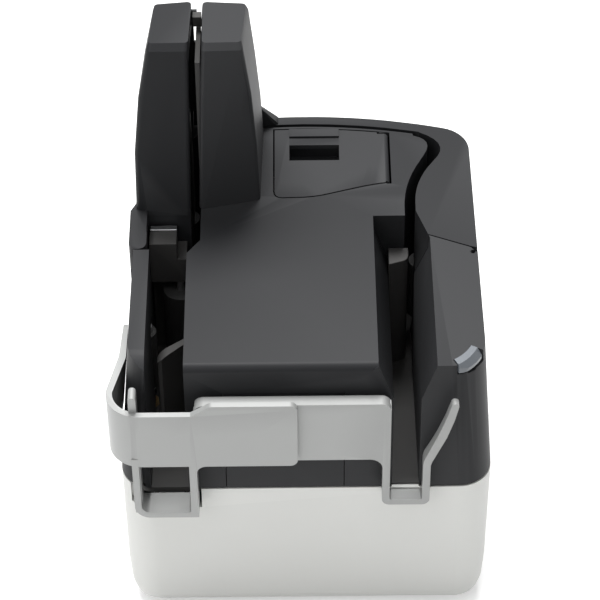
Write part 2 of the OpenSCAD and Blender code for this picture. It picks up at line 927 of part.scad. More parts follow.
// Lip on the fin's rear edge that closes the slot above the documents
module slot_lip() {
    intersection() {
        crosswise(-45, -39.9)
            polygon([[120.1, 158], [121.4, 158], [112.8, 207], [112.8, 213], [111.5, 213], [111.5, 207]]);
        union() {
            block([-46, 100, 150], [-39.9, 130, 197]);
            block([-46, 100, 150], [-41.4, 130, 220]);
            block([-46, 100, 206], [-39.9, 130, 220]);
        }
    }
    // Lower piece at the fin's rear corner, behind the track's bend
    crosswise(-45.4, -38.2)
        polygon([[128.6, 156], [130, 156], [133.2, 141], [131.8, 141]]);
}
unit_swing = 20;
module left_fin_cover() {
    color(black_c)
        difference() {
            union() {
                difference() {
                    union() {
                        unit_lower();
                        fin_solid(left_fin_rings);
                    }
                    unit_lower(cover_t);
                    fin_solid(left_fin_rings, cover_t);
                    // Open side towards the slot, closed by the slot's wall
                    crosswise(slot_out_x - guide_t - 0.8, slot_out_x + 4.6)
                        offset(delta = 0.25)
                            slot_wall_outline();
                }
                hinge_column();
                slot_lip();
            }
            translate([hinge_x, hinge_y, 0])
                cylinder(r = unit_pin_r + bearing_gap, h = crease_z);
            // Slots for the ears of the side wall, wide enough for the swing
            for (z = ear_z)
                upright(z - 0.35, z + ear_t + 0.35)
                    for (a = [0, -unit_swing / 2, -unit_swing])
                        translate([hinge_x, hinge_y])
                            rotate(a)
                                translate([-hinge_x, -hinge_y])
                                    offset(delta = 0.35)
                                        ear_plan();
        }
}
module left_guide_plate() {
    color(dark_c)
        difference() {
            union() {
                crosswise(slot_out_x - guide_t, slot_out_x)
                    slot_wall_outline();
                // Brackets of the pinch roller's pin
                for (z = [window_z0 - 4.5, window_z1 + 1.5])
                    block([slot_out_x - 8.6, corner_pinch_at[1] - 4, z], [slot_out_x - guide_t,
                        corner_pinch_at[1] + 4, z + 3]);
            }
            block([slot_out_x - 2.2, glass_y0, glass_z0], [slot_out_x + 1, glass_y1, glass_z1]);
            block([slot_out_x - 5, corner_pinch_at[1] - 5.4, window_z0 + 1], [slot_out_x + 2,
                corner_pinch_at[1] + 5.4, window_z1 - 1]);
            translate([corner_pinch_at[0], corner_pinch_at[1], 0])
                cylinder(r = 1.5, h = far);
            // Swings over the chassis ledge
            block([slot_out_x - 12, 98, 60], [slot_out_x + 1, 140, cover_z0 + 0.5]);
        }
}
module right_fin_cover() {
    color(black_c)
        difference() {
            intersection() {
                union() {
                    fin_solid(right_fin_rings);
                    hull()
                        for (p = fairing)
                            translate(p)
                                cube(0.2, center = true);
                }
                translate([-60, 0, crease_z + 0.1])
                    rotate([top_slope, 0, 0])
                        cube([120, 200, 120]);
            }
            fin_solid(right_fin_rings, cover_t);
            crosswise(slot_in_x - 3, slot_in_x + guide_t + 3)
                offset(delta = 0.25)
                    slot_wall_outline();
        }
}
module right_guide_plate() {
    color(dark_c)
        difference() {
            crosswise(slot_in_x, slot_in_x + guide_t)
                slot_wall_outline();
            block([slot_in_x - 1, glass_y0, glass_z0], [slot_in_x + 5, glass_y1, glass_z1]);
            block([slot_in_x - 3, corner_at[1] - 12.6, window_z0], [slot_in_x + 5, guide_y1 + 1, window_z1]);
            block([slot_in_x - 1, head_y0 - 0.2, head_z0 - 0.2], [slot_in_x + 5, head_y1 + 0.2, head_z1 + 0.2]);
        }
}
module slot_stop() {
    color(dark_c)
        block([-41.4, 107, 209], [-38.12, 110.5, 213.4]);
}
sensor_w = 11;
sensor_h = 118;
module rear_image_sensor() {
    color(dark_c)
        block([slot_out_x - guide_t - 0.2 - sensor_w, 91.5, 68],
            [slot_out_x - guide_t - 0.2, 104.5, 68 + sensor_h]);
}
module rear_sensor_glass() {
    color(glass_c)
        block([slot_out_x - guide_t, glass_y0, glass_z0], [slot_out_x - 0.2, glass_y1, glass_z1]);
}
module front_image_sensor() {
    color(dark_c)
        block([slot_in_x + guide_t + 0.2, 91.5, 68],
            [slot_in_x + guide_t + 0.2 + sensor_w, 104.5, 68 + sensor_h]);
}
module front_sensor_glass() {
    color(glass_c)
        block([slot_in_x + 0.2, glass_y0, glass_z0], [slot_in_x + guide_t, glass_y1, glass_z1]);
}
head_y0 = 88;
head_y1 = 91.2;
head_z0 = 68;
head_z1 = 82;
module magnetic_head() {
    color(steel_c)
        union() {
            block([slot_in_x + 0.3, head_y0, head_z0], [slot_in_x + 9, head_y1, head_z1]);
            block([slot_in_x + 3, head_y0, floor_z], [slot_in_x + 8, head_y1, head_z0 + eps]);
        }
}

// Trays
// Plan of a strip that runs along the front and back along the left side, where it draws in
module band_path(outer_x, front, right_x, rear_y, r) {
    difference() {
        offset(r = r)
            offset(delta = -r)
                band_outline(outer_x, front, 0);
        offset(r = r - band_t)
            offset(delta = -r + band_t)
                band_outline(outer_x, front, band_t);
        block2([outer_x - 1, rear_y], [200, 400]);
    }
    block2([outer_x + 20, front], [right_x, front + band_t]);
}
module band_outline(outer_x, front, t) {
    block2([outer_x + t, front + t], [outer_x + 120, 120]);
}
// The tray's arm along the body's left side, which closes up to it towards the rear
arm_y0 = 4.4;
arm_y1 = 24;
module tray_arm() {
    hull()
        for (z = [band_z0 - 2, band_z1 + 2])
            upright(z, z + eps)
                polygon([[feed_out_x, arm_y0], [feed_out_x + band_t, arm_y0], [left_x(z) - 0.45, arm_y1],
                    [left_x(z) - 3.2, arm_y1]]);
    hull()
        for (z = [band_z0 - 2, band_z1 + 2])
            upright(z, z + eps)
                polygon([[left_x(z) - 3.2, arm_y1 - eps], [left_x(z) - 0.45, arm_y1 - eps],
                    [left_x(z) - 0.4, 43.5], [left_x(z) - 2.1, 43.5]]);
}
leg_t = 2.9;
leg_y1 = -0.6;
upright_x = -66;
inner_leg_x = -44.4;
floor_y1 = 1.6;
module feed_tray() {
    color(silver_c)
        union() {
            intersection() {
                union() {
                    upright(band_z0, band_z2)
                        band_path(feed_out_x, feed_front_y, -3.2, arm_y0 + eps, 13);
                    tray_arm();
                }
                union() {
                    lengthwise(feed_front_y - 1, 3)
                        offset(r = 3)
                            offset(delta = -3)
                                polygon([[-90, band_z0], [-3.2, band_z0], [-3.2, band_z2], [-35.5, band_z2],
                                    [-43, band_z1], [-90, band_z1]]);
                    crosswise(feed_out_x - 1, feed_out_x + 20)
                        offset(r = 3)
                            offset(delta = -3)
                                polygon([[-20, band_z0], [20, band_z0 + 1], [43.5, band_z0 + 9],
                                    [43.5, band_z1 - 0.6], [20, band_z1], [-20, band_z1]]);
                }
            }
            // Upright at the left, inner leg and the floor between them
            lengthwise(feed_front_y + band_t - eps, leg_y1) {
                translate([upright_x, 61])
                    square([leg_t, 61]);
                translate([upright_x + leg_t / 2, 122])
                    circle(r = leg_t / 2);
            }
            lengthwise(feed_front_y, leg_y1)
                feed_frame();
            lengthwise(leg_y1 - eps, floor_y1)
                intersection() {
                    feed_frame();
                    block2([upright_x, 60], [0, 63.4]);
                }
            block([tongue_x0, feed_front_y + 2, tongue_z0], [tongue_x1, 56, tongue_z1]);
        }
}

// The strip under the band: upright, rounded corner, floor and inner leg with its fillet
module feed_frame() {
    right = inner_leg_x + leg_t;
    difference() {
        union() {
            hull() {
                translate([upright_x + 6, 66.6])
                    circle(r = 6);
                block2([upright_x + 6, 60.6], [right, 70]);
                block2([upright_x, 70], [right, band_z0 + 4]);
            }
            block2([right - eps, band_z0 - 3.8], [right + 3.8, band_z0 + 4]);
        }
        translate([right + 3.8, band_z0 - 3.8])
            circle(r = 3.8);
        offset(r = 1)
            offset(delta = -1)
                hull() {
                    translate([upright_x + 6, 66.8])
                        circle(r = 3.4);
                    block2([upright_x + 6, 63.4], [inner_leg_x, 70]);
                    block2([upright_x + 2.6, 70], [inner_leg_x, band_z0 + 7]);
                }
    }
}

band_right = 31.9;
u_z0 = 63.6;
u_right = 47.3;
eject_top = 118.7;
// Tongue that guides the eject tray, hidden behind its leg
bar_x0 = 29.2;
bar_x1 = 30.4;
bar_z0 = 68.4;
bar_z1 = 76.4;
module eject_profile() {
    // The strip of the exit side: leg, U-shaped bottom, leg and leaning arm
    difference() {
        offset(r = 3)
            offset(delta = -3)
                block2([band_right - leg_t, u_z0], [u_right, 110]);
        offset(r = 0.8)
            offset(delta = -0.8)
                block2([band_right, u_z0 + leg_t], [u_right - leg_t, 130]);
        block2([band_right + 3, 86], [90, 130]);
        block2([0, band_z0 + 3], [90, 130]);
    }
    for (i = [1:len(arm_line) - 1])
        hull() {
            translate(arm_line[i - 1])
                circle(r = arm_r[i - 1]);
            translate(arm_line[i])
                circle(r = arm_r[i]);
        }
}
// Middle line of the leaning arm, with its half thickness
arm_line = [[45.85, 85.5], [46.3, 87.8], [51.3, 100.9], [54, 110], [55.6, 117]];
arm_r = [1.45, 1.6, 1.75, 1.6, 1.4];
module eject_tray() {
    color(silver_c)
        union() {
            // Band behind the feed tray's band
            lengthwise(eject_front_y, eject_front_y + band_t)
                difference() {
                    offset(r = 4)
                        offset(delta = -4)
                            block2([-42, band_z0], [band_right, eject_top]);
                    block2([-60, band_z0 - 1], [-30.5, band_z0 + 12]);
                }
            // Fillet between the band and its leg
            lengthwise(eject_front_y, eject_front_y + band_t)
                difference() {
                    block2([band_right - leg_t - 5, band_z0 - 5], [band_right - leg_t + eps, band_z0 + 5]);
                    translate([band_right - leg_t - 5, band_z0 - 5])
                        circle(r = 5);
                }
            // Ledge on top, reaching back to the covers
            intersection() {
                block([-42, eject_front_y, eject_top - 2.2], [band_right, leg_y1 - 0.5, eject_top]);
                lengthwise(eject_front_y - 1, 3)
                    offset(r = 4)
                        offset(delta = -4)
                            block2([-42, band_z0], [band_right, eject_top]);
            }
            difference() {
                lengthwise(eject_front_y, leg_y1)
                    eject_profile();
                // Hollowed behind the arm, clear of the swinging cover's corner
                upright(60, 130)
                    polygon([[44, 1], [44, leg_y1 - 0.15], [47.3, leg_y1 - 1.3], [50, leg_y1 - 1.8], [57, leg_y1 - 2.4],
                        [62, leg_y1 - 2.4], [62, 1]]);
            }
            block([band_right - leg_t, eject_front_y, band_z0], [band_right, leg_y1, eject_top - 3]);
            block([bar_x0, leg_y1 - 1, bar_z0], [bar_x1, 52, bar_z1]);
        }
}

// Document pusher: a plate across the feeder pocket that slides into the block as documents go in
pusher_y0 = 29;
pusher_y1 = 43;
pusher_z1 = 109;
stem_y = 41;
module document_pusher() {
    color(dark_c)
        union() {
            intersection() {
                upright(floor_z + 0.6, pusher_z1 + 5)
                    polygon([[-57.6, pusher_y0 + 1.6], [-56.6, pusher_y0], [-55.2, pusher_y0],
                        [-43.4, pusher_y1 - 2.4], [-43.4, pusher_y1], [-57.6, pusher_y0 + 3.4]]);
                lengthwise(0, 60)
                    offset(r = 4)
                        offset(delta = -4)
                            block2([-57.3, 40], [-30, pusher_z1]);
            }
            // Guide stem inside the block
            translate([-44.4, stem_y, 84])
                rotate([0, 90, 0])
                    cylinder(r = 1.1, h = 6);
        }
}
module pusher_spring() {
    color(steel_c)
        translate([-28.6, stem_y, 84])
            rotate([0, 90, 0])
                difference() {
                    cylinder(r = 3.2, h = 5);
                    translate([0, 0, -1])
                        cylinder(r = 2.4, h = 8);
                }
}

// Retard side of the feeder
bracket_x0 = -60.7;
bracket_x1 = -50;
bracket_top = 129;
bracket_step = 121;
module separator_bracket() {
    color(dark_c)
        difference() {
            union() {
                block([bracket_x0, 82.2, floor_z], [bracket_x1, 83.9, bracket_top]);
                block([bracket_x0, 73, window_z1], [bracket_x1, 83.9, bracket_top]);
                block([bracket_x1 - eps, 82.2, floor_z], [-46.2, 83.9, bracket_step]);
                block([bracket_x1 - eps, 73, window_z1], [-46.2, 83.9, bracket_step]);
            }
            block([bracket_x0 + 2, 75, window_z1 - 1], [bracket_x1 - 2, 82.2, bracket_top - 2]);
            translate([retard_at[0], retard_at[1], 0])
                cylinder(r = 1.5, h = bracket_step - 2);
        }
}
module guide_strip() {
    color(steel_c)
        block([bracket_x0 + 0.2, 80.6, bracket_top], [bracket_x1, 83.2, bracket_top + 0.8]);
}
module retard_roller() {
    color(rubber_c)
        translate([retard_at[0], retard_at[1], 0])
            ring(retard_r, 1.5 + bearing_gap, tyre_z0 - 2, tyre_z1);
}
module retard_pin() {
    color(steel_c)
        translate([retard_at[0], retard_at[1], floor_z - 1])
            cylinder(r = 1.5, h = bracket_step - 2 - floor_z + 1);
}
module ring(r_out, r_in, z0, z1) {
    translate([0, 0, z0])
        difference() {
            cylinder(r = r_out, h = z1 - z0);
            translate([0, 0, -1])
                cylinder(r = r_in, h = z1 - z0 + 2);
        }
}

// Driven lines: rubber tyre on a moulded hub, steel ends, belt pulley under the floor
hub_r = 4;
module tyre(at, r) {
    color(rubber_c)
        translate([at[0], at[1], 0])
            ring(r, hub_r, tyre_z0, tyre_z1);
}
module driven_shaft(at, z0, z1, hub) {
    color(steel_c)
        translate([at[0], at[1], 0])
            union() {
                translate([0, 0, z0])
                    cylinder(r = shaft_r, h = z1 - z0);
                translate([0, 0, tyre_z0 - 3])
                    cylinder(r = hub, h = tyre_z1 - tyre_z0 + 6);
            }
}
module pulley(at, r, z0, z1) {
    color(dark_c)
        translate([at[0], at[1], 0]) {
            difference() {
                union() {
                    translate([0, 0, z0])
                        cylinder(r = r, h = z1 - z0);
                    for (z = [z0 - 1, z1])
                        translate([0, 0, z])
                            cylinder(r = r + 1.2, h = 1);
                }
                translate([0, 0, z0 - 2])
                    cylinder(r = shaft_r, h = z1 - z0 + 4);
            }
        }
}
module feed_roller() tyre(feed_at, roller_r);
module feed_shaft() driven_shaft(feed_at, low_pulley_z0 - 2, frame_z + frame_t, hub_r);
module feed_pulley() {
    pulley(feed_at, pulley_r, pulley_z0, pulley_z1);
    pulley(feed_at, low_pulley_r, low_pulley_z0, low_pulley_z1);
}
module corner_roller() tyre(corner_at, corner_roller_r);
module corner_shaft() driven_shaft(corner_at, shaft_z0, frame_z + frame_t, hub_r);
module corner_pulley() pulley(corner_at, pulley_r, pulley_z0, pulley_z1);
module exit_roller() tyre(exit_at, roller_r);
module exit_shaft() driven_shaft(exit_at, shaft_z0, frame_z + frame_t, hub_r);
module exit_pulley() pulley(exit_at, pulley_r, pulley_z0, pulley_z1);
pickup_hub_r = 2.6;
module pickup_roller() {
    color(rubber_c)
        translate([pickup_at[0], pickup_at[1], 0])
            ring(pickup_r, pickup_hub_r, tyre_z0, tyre_z1);
}
module pickup_shaft() driven_shaft(pickup_at, low_pulley_z0 - 2, window_z1 - 1, pickup_hub_r);
module pickup_pulley() pulley(pickup_at, low_pulley_r, low_pulley_z0, low_pulley_z1);
// The corner's pinch roller has moulded axle ends, which run in the slot wall's brackets
module corner_pinch_roller() {
    color(rubber_c)
        translate([corner_pinch_at[0], corner_pinch_at[1], 0])
            union() {
                translate([0, 0, tyre_z0])
                    cylinder(r = pinch_r, h = tyre_z1 - tyre_z0);
                translate([0, 0, window_z0 - 4.5])
                    cylinder(r = 1.5 - bearing_gap, h = window_z1 - window_z0 + 9);
            }
}
module exit_pinch_roller() {
    color(rubber_c)
        translate([exit_pinch_at[0], exit_pinch_at[1], 0])
            ring(pinch_r, 1.5 + bearing_gap, tyre_z0, tyre_z1);
}
module exit_pinch_pin() {
    color(steel_c)
        translate([exit_pinch_at[0], exit_pinch_at[1], floor_z - 1])
            cylinder(r = 1.5, h = 48);
}
module shaft_bushes() {
    color([0.72, 0.6, 0.35])
        for (p = bush_at)
            translate([p[0], p[1], 0])
                difference() {
                    union() {
                        translate([0, 0, floor_z - floor_t])
                            cylinder(r = bush_r, h = floor_t);
                        translate([0, 0, floor_z - floor_t - 1.2])
                            cylinder(r = bush_r + 1, h = 1.2);
                    }
                    cylinder(r = shaft_r + bearing_gap, h = far);
                }
}

// Upper bearing plate inside the centre block
module upper_frame() {
    color(dark_c)
        upright(frame_z, frame_z + frame_t)
            difference() {
                polygon([[-37, 48], [26, 48], [28, 84], [36.6, 84], [36.6, 96], [32, 114], [-22, 126],
                    [-36, 124], [-37, 108], [-24, 107], [-24, 89], [-37, 89]]);
                for (p = [feed_at, corner_at, exit_at])
                    translate(p)
                        circle(r = shaft_r + bearing_gap);
                for (p = post_at)
                    translate(p)
                        circle(r = 1.6);
                translate([cartridge_x0 - 1, 99])
                    square([cartridge_x1 - cartridge_x0 + 2, 40]);
            }
}
module frame_screws() {
    color(steel_c)
        for (p = post_at)
            translate([p[0], p[1], 0]) {
                translate([0, 0, frame_z + frame_t])
                    cylinder(r = 2.8, h = 1.8);
                translate([0, 0, frame_z - 8])
                    cylinder(r = 1.25, h = frame_t + 8 + eps);
            }
}

// Imprinter: ink cartridge in its cradle under the door
cartridge_x0 = -8;
cartridge_x1 = 20;
module cartridge_cradle() {
    color(dark_c)
        difference() {
            block([cartridge_x0 - 0.8, 103, floor_z], [cartridge_x1 + 0.8, 126.4, 100]);
            block([cartridge_x0 + 1, 105, floor_z + 2], [cartridge_x1 - 1, 124.4, 101]);
        }
}
module print_cartridge() {
    color(dark_c)
        union() {
            block([cartridge_x0 + 1.3, 105.3, 78], [cartridge_x1 - 1.3, 124.1, 122]);
            block([cartridge_x0 + 4, 110, 122 - eps], [cartridge_x1 - 8, 118, 126]);
        }
}

// Motor and belts
motor_r = 17;
motor_shaft_r = 2;
module motor() {
    color(steel_c)
        translate([motor_at[0], motor_at[1], 0]) {
            translate([0, 0, bracket_z - 32])
                cylinder(r = motor_r, h = 32);
            translate([0, 0, bracket_z - eps])
                cylinder(r = 6, h = 2.5);
        }
}
module motor_bracket() {
    color(steel_c)
        upright(bracket_z, bracket_z + 2.5)
            difference() {
                hull()
                    for (p = hanger_at)
                        translate(p)
                            circle(r = 6);
                translate(motor_at)
                    circle(r = 6);
            }
}
module motor_pulley() {
    color(steel_c)
        translate([motor_at[0], motor_at[1], 0])
            union() {
                translate([0, 0, bracket_z + 3])
                    cylinder(r = motor_shaft_r, h = 14.5);
                translate([0, 0, pulley_z0])
                    cylinder(r = pulley_r, h = pulley_z1 - pulley_z0);
                for (z = [pulley_z0 - 1, pulley_z1])
                    translate([0, 0, z])
                        cylinder(r = pulley_r + 1.2, h = 1);
            }
}
belt_gap = 0.3;
module belt_loop(points, r, z0, z1) {
    color(rubber_c)
        upright(z0 + 0.4, z1 - 0.4)
            difference() {
                hull()
                    for (p = points)
                        translate(p)
                            circle(r = r + belt_gap + belt_t);
                hull()
                    for (p = points)
                        translate(p)
                            circle(r = r + belt_gap);
            }
}
module drive_belt() belt_loop([feed_at, corner_at, exit_at, motor_at], pulley_r, pulley_z0, pulley_z1);
module pickup_belt() belt_loop([feed_at, pickup_at], low_pulley_r, low_pulley_z0, low_pulley_z1);

// Electronics
board_z = 9;
board_t = 1.6;
usb_low = [-24, 120, 10.6];
usb_high = [-12, 137.5, 21.6];
power_x = 24;
power_z = 17;
power_r = 4.2;
module circuit_board() {
    color(board_c)
        union() {
            block([-54, 82, board_z], [54, 127, board_z + board_t]);
            block(usb_low - [0, 0, eps], usb_high - [0, 2, 0]);
            difference() {
                union() {
                    block([power_x - 5, 118, board_z + board_t - eps], [power_x + 5, 127, power_z + 5]);
                    translate([power_x, 135, power_z])
                        rotate([90, 0, 0])
                            cylinder(r = power_r, h = 10);
                }
                translate([power_x, 140, power_z])
                    rotate([90, 0, 0])
                        cylinder(r = 2.8, h = 14);
            }
            for (p = [[-40, 96], [-16, 98], [8, 96], [36, 100]])
                block([p[0] - 6, p[1] - 5, board_z + board_t - eps], [p[0] + 6, p[1] + 5, board_z + 4.2]);
        }
}

placed() base_shell();
placed() rubber_feet();
placed() base_screws();
placed() chassis_frame();
placed() front_panel();
placed() centre_cover();
placed() imprinter_door();
placed() door_hinge_pin();
placed() print_cartridge();
placed() cartridge_cradle();
placed() right_front_cover();
placed() exit_cover_pin();
placed() right_rear_cover();
placed() power_button();
placed() button_switch();
placed() left_side_wall();
placed() unit_hinge_pin();
placed() left_fin_cover();
placed() left_guide_plate();
placed() right_fin_cover();
placed() right_guide_plate();
placed() slot_stop();
placed() rear_image_sensor();
placed() rear_sensor_glass();
placed() front_image_sensor();
placed() front_sensor_glass();
placed() magnetic_head();
placed() exit_guide();
placed() feed_tray();
placed() eject_tray();
placed() document_pusher();
placed() pusher_spring();
placed() separator_bracket();
placed() guide_strip();
placed() retard_roller();
placed() retard_pin();
placed() pickup_roller();
placed() pickup_shaft();
placed() pickup_pulley();
placed() feed_roller();
placed() feed_shaft();
placed() feed_pulley();
placed() corner_roller();
placed() corner_shaft();
placed() corner_pulley();
placed() exit_roller();
placed() exit_shaft();
placed() exit_pulley();
placed() corner_pinch_roller();
placed() exit_pinch_roller();
placed() exit_pinch_pin();
placed() shaft_bushes();
placed() upper_frame();
placed() frame_screws();
placed() motor();
placed() motor_bracket();
placed() motor_pulley();
placed() drive_belt();
placed() pickup_belt();
placed() circuit_board();
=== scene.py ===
import json
import math

import bpy
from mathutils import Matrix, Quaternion, Vector

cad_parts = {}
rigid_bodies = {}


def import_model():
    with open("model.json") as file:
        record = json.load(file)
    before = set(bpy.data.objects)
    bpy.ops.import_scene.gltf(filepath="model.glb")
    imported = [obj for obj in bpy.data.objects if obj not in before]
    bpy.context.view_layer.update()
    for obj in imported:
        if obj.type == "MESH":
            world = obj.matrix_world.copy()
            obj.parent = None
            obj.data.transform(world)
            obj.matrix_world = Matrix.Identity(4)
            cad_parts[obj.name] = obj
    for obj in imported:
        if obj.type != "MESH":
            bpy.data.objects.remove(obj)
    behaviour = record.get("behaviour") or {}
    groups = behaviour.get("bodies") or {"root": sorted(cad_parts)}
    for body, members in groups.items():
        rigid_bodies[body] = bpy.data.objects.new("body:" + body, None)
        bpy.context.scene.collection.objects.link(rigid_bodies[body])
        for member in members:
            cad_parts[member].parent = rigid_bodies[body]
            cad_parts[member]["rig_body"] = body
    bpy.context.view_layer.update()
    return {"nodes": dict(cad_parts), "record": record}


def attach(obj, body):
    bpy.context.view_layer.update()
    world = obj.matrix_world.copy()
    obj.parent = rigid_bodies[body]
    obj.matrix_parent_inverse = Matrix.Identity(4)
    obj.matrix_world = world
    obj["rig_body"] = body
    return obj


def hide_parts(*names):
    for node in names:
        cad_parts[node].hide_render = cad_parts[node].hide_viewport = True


bl_info = {
    "name": "Cheque scanner",
    "version": (1, 0, 0),
    "blender": (4, 5, 0),
    "location": "View3D > Sidebar > Cheque scanner",
    "description": "Dresses the packed cheque scanner with its finished pieces, materials and studio",
    "category": "Object",
}

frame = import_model()
MM = 0.001
# The CAD's working frame starts at the middle of the base's front; this moves it to the row frame
SHIFT = Vector((1.5, -66.1, 5.5))

# The covers' sloping top: its height at the front, in working millimetres, and its rise
TOP_FRONT = 131
TOP_SLOPE = math.radians(4)
CREASE_DEPTH = 5
CREASE_BAND = 0.15

# Rounding of the copied pieces
WELD_DISTANCE = 2e-6
FLAT_ANGLE = math.radians(1.5)
BEVEL_ANGLE = math.radians(28)
BEVEL_SEGMENTS = 3
CREASE_SEGMENTS = 6
SMOOTH_ANGLE = math.radians(32)

# Edge radii of the small pieces, in metres
FOOT_EDGE = 0.0004
PANEL_EDGE = 0.0006
BUTTON_EDGE = 0.0003
SEPARATOR_EDGE = 0.0005
STRIP_EDGE = 0.0002
GUIDE_EDGE = 0.0004

# Lamps: name, place, target, size in metres, watts
LAMPS = (
    ("lamp_top", (-0.05, -0.2, 0.62), (0, -0.03, 0.1), (0.5, 0.3), 0.8),
    ("lamp_back", (-0.1, 0.38, 1.35), (0, -0.03, 0.1), (0.9, 0.4), 27),
    ("lamp_front_left", (-0.8, -1.0, 0.9), (0, 0, 0.1), (0.8, 0.8), 4.2),
    ("lamp_front_right", (0.8, -1.0, 0.8), (0, 0, 0.1), (0.8, 0.8), 0.2),
)
WORLD_SOFT = 0.3
WORLD_WHITE = 1
FLOOR_SIZE = 12
FLOOR_GREY = 0.8
FLOOR_GLOW = 0.35

# Camera fitted to the photo
CAMERA_LENS = 147
CAMERA_SENSOR = 36
CAMERA_PLACE = (-0.00029, -0.7098, 0.77225)
CAMERA_TILT = math.radians(47)
CAMERA_ROLL = -0.01


# Settings


class ScannerFinish(bpy.types.PropertyGroup):
    cover_black: bpy.props.FloatVectorProperty(
        name="Cover black", description="Colour of the dark covers", subtype="COLOR",
        size=3, min=0, max=1, default=(0.016, 0.0165, 0.018))
    base_white: bpy.props.FloatVectorProperty(
        name="Base white", description="Colour of the light base", subtype="COLOR",
        size=3, min=0, max=1, default=(0.72, 0.725, 0.7))
    tray_silver: bpy.props.FloatVectorProperty(
        name="Tray silver", description="Colour of the two document trays", subtype="COLOR",
        size=3, min=0, max=1, default=(0.31, 0.315, 0.31))
    lens_blue: bpy.props.FloatVectorProperty(
        name="Button blue", description="Colour of the crescent power button", subtype="COLOR",
        size=3, min=0, max=1, default=(0.12, 0.133, 0.15))
    grain_size: bpy.props.FloatProperty(
        name="Grain size", description="Size of the moulded texture's grain", subtype="DISTANCE",
        min=0.0001, max=0.002, default=0.0005)


class ScannerEdges(bpy.types.PropertyGroup):
    cover_edge: bpy.props.FloatProperty(
        name="Cover edge", description="Radius of the dark covers' edges", subtype="DISTANCE",
        min=0.0002, max=0.0015, default=0.0008)
    crease: bpy.props.FloatProperty(
        name="Front crease", description="Radius of the soft crease between top and front",
        subtype="DISTANCE",
        min=0.001, max=0.004, default=0.0028)
    tray_edge: bpy.props.FloatProperty(
        name="Tray edge", description="Radius of the trays' edges", subtype="DISTANCE",
        min=0.0002, max=0.0015, default=0.0008)
    base_edge: bpy.props.FloatProperty(
        name="Base edge", description="Radius of the base's edges", subtype="DISTANCE",
        min=0.0002, max=0.002, default=0.0006)


# Materials


def new_group(name, inputs, outputs):
    """An empty shader node group with the given sockets."""
    group = bpy.data.node_groups.new(name, "ShaderNodeTree")
    for label, kind, value in inputs:
        socket = group.interface.new_socket(label, in_out="INPUT", socket_type=kind)
        socket.default_value = value
    for label, kind in outputs:
        group.interface.new_socket(label, in_out="OUTPUT", socket_type=kind)
    ends = group.nodes.new("NodeGroupInput"), group.nodes.new("NodeGroupOutput")
    return group, ends[0], ends[1]


def moulded_grain():
    """Fine moulded texture: a mottled colour, an uneven gloss and a height for the bump."""
    name = "moulded_grain"
    if name in bpy.data.node_groups:
        return bpy.data.node_groups[name]
    group, start, end = new_group(
        name,
        [("Color", "NodeSocketColor", (0.1, 0.1, 0.1, 1)), ("Grain", "NodeSocketFloat", 2000.0),
         ("Mottle", "NodeSocketFloat", 0.06), ("Gloss", "NodeSocketFloat", 0.45),
         ("Unevenness", "NodeSocketFloat", 0.08)],
        [("Color", "NodeSocketColor"), ("Roughness", "NodeSocketFloat"), ("Height", "NodeSocketFloat")])
    nodes, links = group.nodes, group.links
    place = nodes.new("ShaderNodeTexCoord")
    fine = nodes.new("ShaderNodeTexNoise")
    fine.inputs["Detail"].default_value = 3
    links.new(place.outputs["Object"], fine.inputs["Vector"])
    links.new(start.outputs["Grain"], fine.inputs["Scale"])
    broad = nodes.new("ShaderNodeTexNoise")
    broad.inputs["Scale"].default_value = 22
    broad.inputs["Detail"].default_value = 4
    links.new(place.outputs["Object"], broad.inputs["Vector"])
    both = nodes.new("ShaderNodeMath")
    both.operation = "ADD"
    links.new(fine.outputs["Fac"], both.inputs[0])
    links.new(broad.outputs["Fac"], both.inputs[1])
    centred = nodes.new("ShaderNodeMath")
    centred.operation = "SUBTRACT"
    centred.inputs[1].default_value = 1
    links.new(both.outputs[0], centred.inputs[0])
    share = nodes.new("ShaderNodeMath")
    share.operation = "MULTIPLY_ADD"
    share.inputs[2].default_value = 1
    links.new(centred.outputs[0], share.inputs[0])
    links.new(start.outputs["Mottle"], share.inputs[1])
    tint = nodes.new("ShaderNodeVectorMath")
    tint.operation = "SCALE"
    links.new(start.outputs["Color"], tint.inputs[0])
    links.new(share.outputs[0], tint.inputs["Scale"])
    links.new(tint.outputs[0], end.inputs["Color"])
    gloss = nodes.new("ShaderNodeMath")
    gloss.operation = "MULTIPLY_ADD"
    links.new(centred.outputs[0], gloss.inputs[0])
    links.new(start.outputs["Unevenness"], gloss.inputs[1])
    links.new(start.outputs["Gloss"], gloss.inputs[2])
    links.new(gloss.outputs[0], end.inputs["Roughness"])
    links.new(fine.outputs["Fac"], end.inputs["Height"])
    return group


def edge_rub():
    """Edges rubbed lighter by handling, as a mask from the surface's convexity."""
    name = "edge_rub"
    if name in bpy.data.node_groups:
        return bpy.data.node_groups[name]
    group, start, end = new_group(
        name,
        [("Color", "NodeSocketColor", (0.1, 0.1, 0.1, 1)), ("Rubbed", "NodeSocketColor", (0.2, 0.2, 0.2, 1)),
         ("Amount", "NodeSocketFloat", 0.5)],
        [("Color", "NodeSocketColor")])
    nodes, links = group.nodes, group.links
    shape = nodes.new("ShaderNodeNewGeometry")
    ramp = nodes.new("ShaderNodeMapRange")
    ramp.inputs["From Min"].default_value = 0.53
    ramp.inputs["From Max"].default_value = 0.66
    links.new(shape.outputs["Pointiness"], ramp.inputs["Value"])
    amount = nodes.new("ShaderNodeMath")
    amount.operation = "MULTIPLY"
    links.new(ramp.outputs["Result"], amount.inputs[0])
    links.new(start.outputs["Amount"], amount.inputs[1])
    mix = nodes.new("ShaderNodeMix")
    mix.data_type = "RGBA"
    links.new(amount.outputs[0], mix.inputs["Factor"])
    links.new(start.outputs["Color"], mix.inputs["A"])
    links.new(start.outputs["Rubbed"], mix.inputs["B"])
    links.new(mix.outputs["Result"], end.inputs["Color"])
    return group


